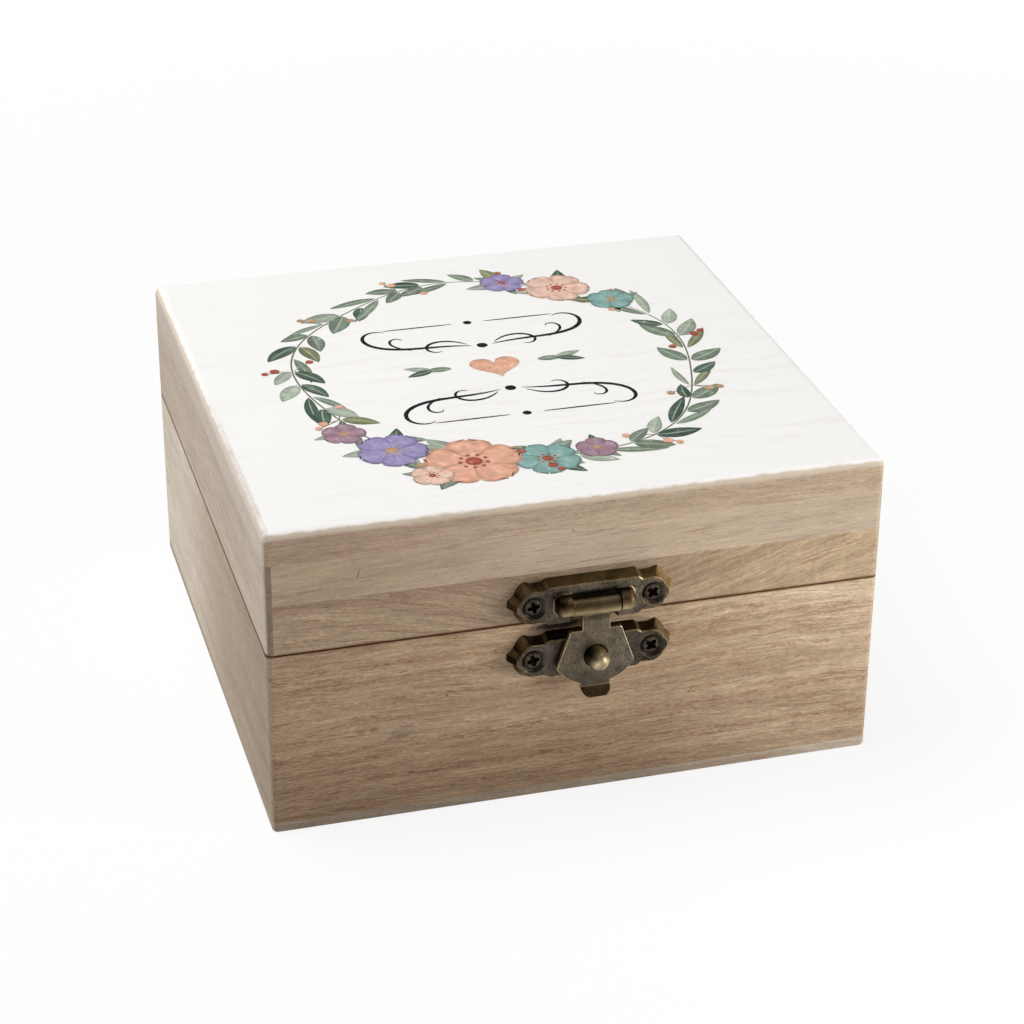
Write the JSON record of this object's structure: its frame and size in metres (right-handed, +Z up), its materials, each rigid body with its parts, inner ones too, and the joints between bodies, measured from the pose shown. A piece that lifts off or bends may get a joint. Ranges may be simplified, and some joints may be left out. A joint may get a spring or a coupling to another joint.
{
  "type": "keepsake box",
  "caption": "Square wooden keepsake box with a hinged lid, a white printed top and an antique brass hasp clasp on the front.",
  "frame": {"origin": "centre of the flat underside of the base", "axes": "+Z up, +X to the right along the front seen from the front, +Y from the front with its clasp to the back with its hinges"},
  "size_m": [0.1, 0.1102, 0.0531],
  "materials": {
    "wall_wood": "bare sanded light hardwood, tan with reddish streaks",
    "lid_wood": "bare sanded light hardwood, edge-glued staves",
    "printed_wood": "bare wood with an opaque white print on its upper face",
    "floor_board": "thin plain board, smooth edge",
    "antique_brass": "antiqued, dark with worn bright edges",
    "bright_brass": "antiqued, satin, worn brighter",
    "pin_brass": "satin",
    "screw_steel": "blackened bronze, cross recess"
  },
  "bodies": {
    "base": {"base_floor": "floor_board", "base_front_wall": "wall_wood", "base_back_wall": "wall_wood", "base_left_wall": "wall_wood", "base_right_wall": "wall_wood", "clasp_base_plate": "antique_brass", "clasp_knob": "bright_brass", "clasp_base_screws": "screw_steel", "hinge_left_base_leaf": "antique_brass", "hinge_right_base_leaf": "antique_brass", "hinge_left_pin": "pin_brass", "hinge_right_pin": "pin_brass", "hinge_base_screws": "screw_steel"},
    "lid": {"lid_front_rail_lower": "lid_wood", "lid_back_rail_lower": "lid_wood", "lid_left_rail_lower": "lid_wood", "lid_right_rail_lower": "lid_wood", "lid_front_rail_upper": "lid_wood", "lid_back_rail_upper": "lid_wood", "lid_left_rail_upper": "lid_wood", "lid_right_rail_upper": "lid_wood", "lid_top_board": "printed_wood", "clasp_lid_plate": "antique_brass", "hinge_left_lid_leaf": "antique_brass", "hinge_right_lid_leaf": "antique_brass", "clasp_hinge_pin": "pin_brass", "clasp_lid_screws": "screw_steel", "hinge_lid_screws": "screw_steel"},
    "hasp": {"clasp_hasp": "antique_brass"}
  },
  "joints": [
    {"name": "lid_hinge", "type": "hinge", "parent": "base", "child": "lid", "pos_m": [0, 0.0517, 0.0321], "axis": [-1, 0, 0], "range_deg": [0, 180]},
    {"name": "hasp_hinge", "type": "hinge", "parent": "lid", "child": "hasp", "pos_m": [0.00145, -0.053, 0.03555], "axis": [-1, 0, 0], "range_deg": [0, 170]}
  ]
}
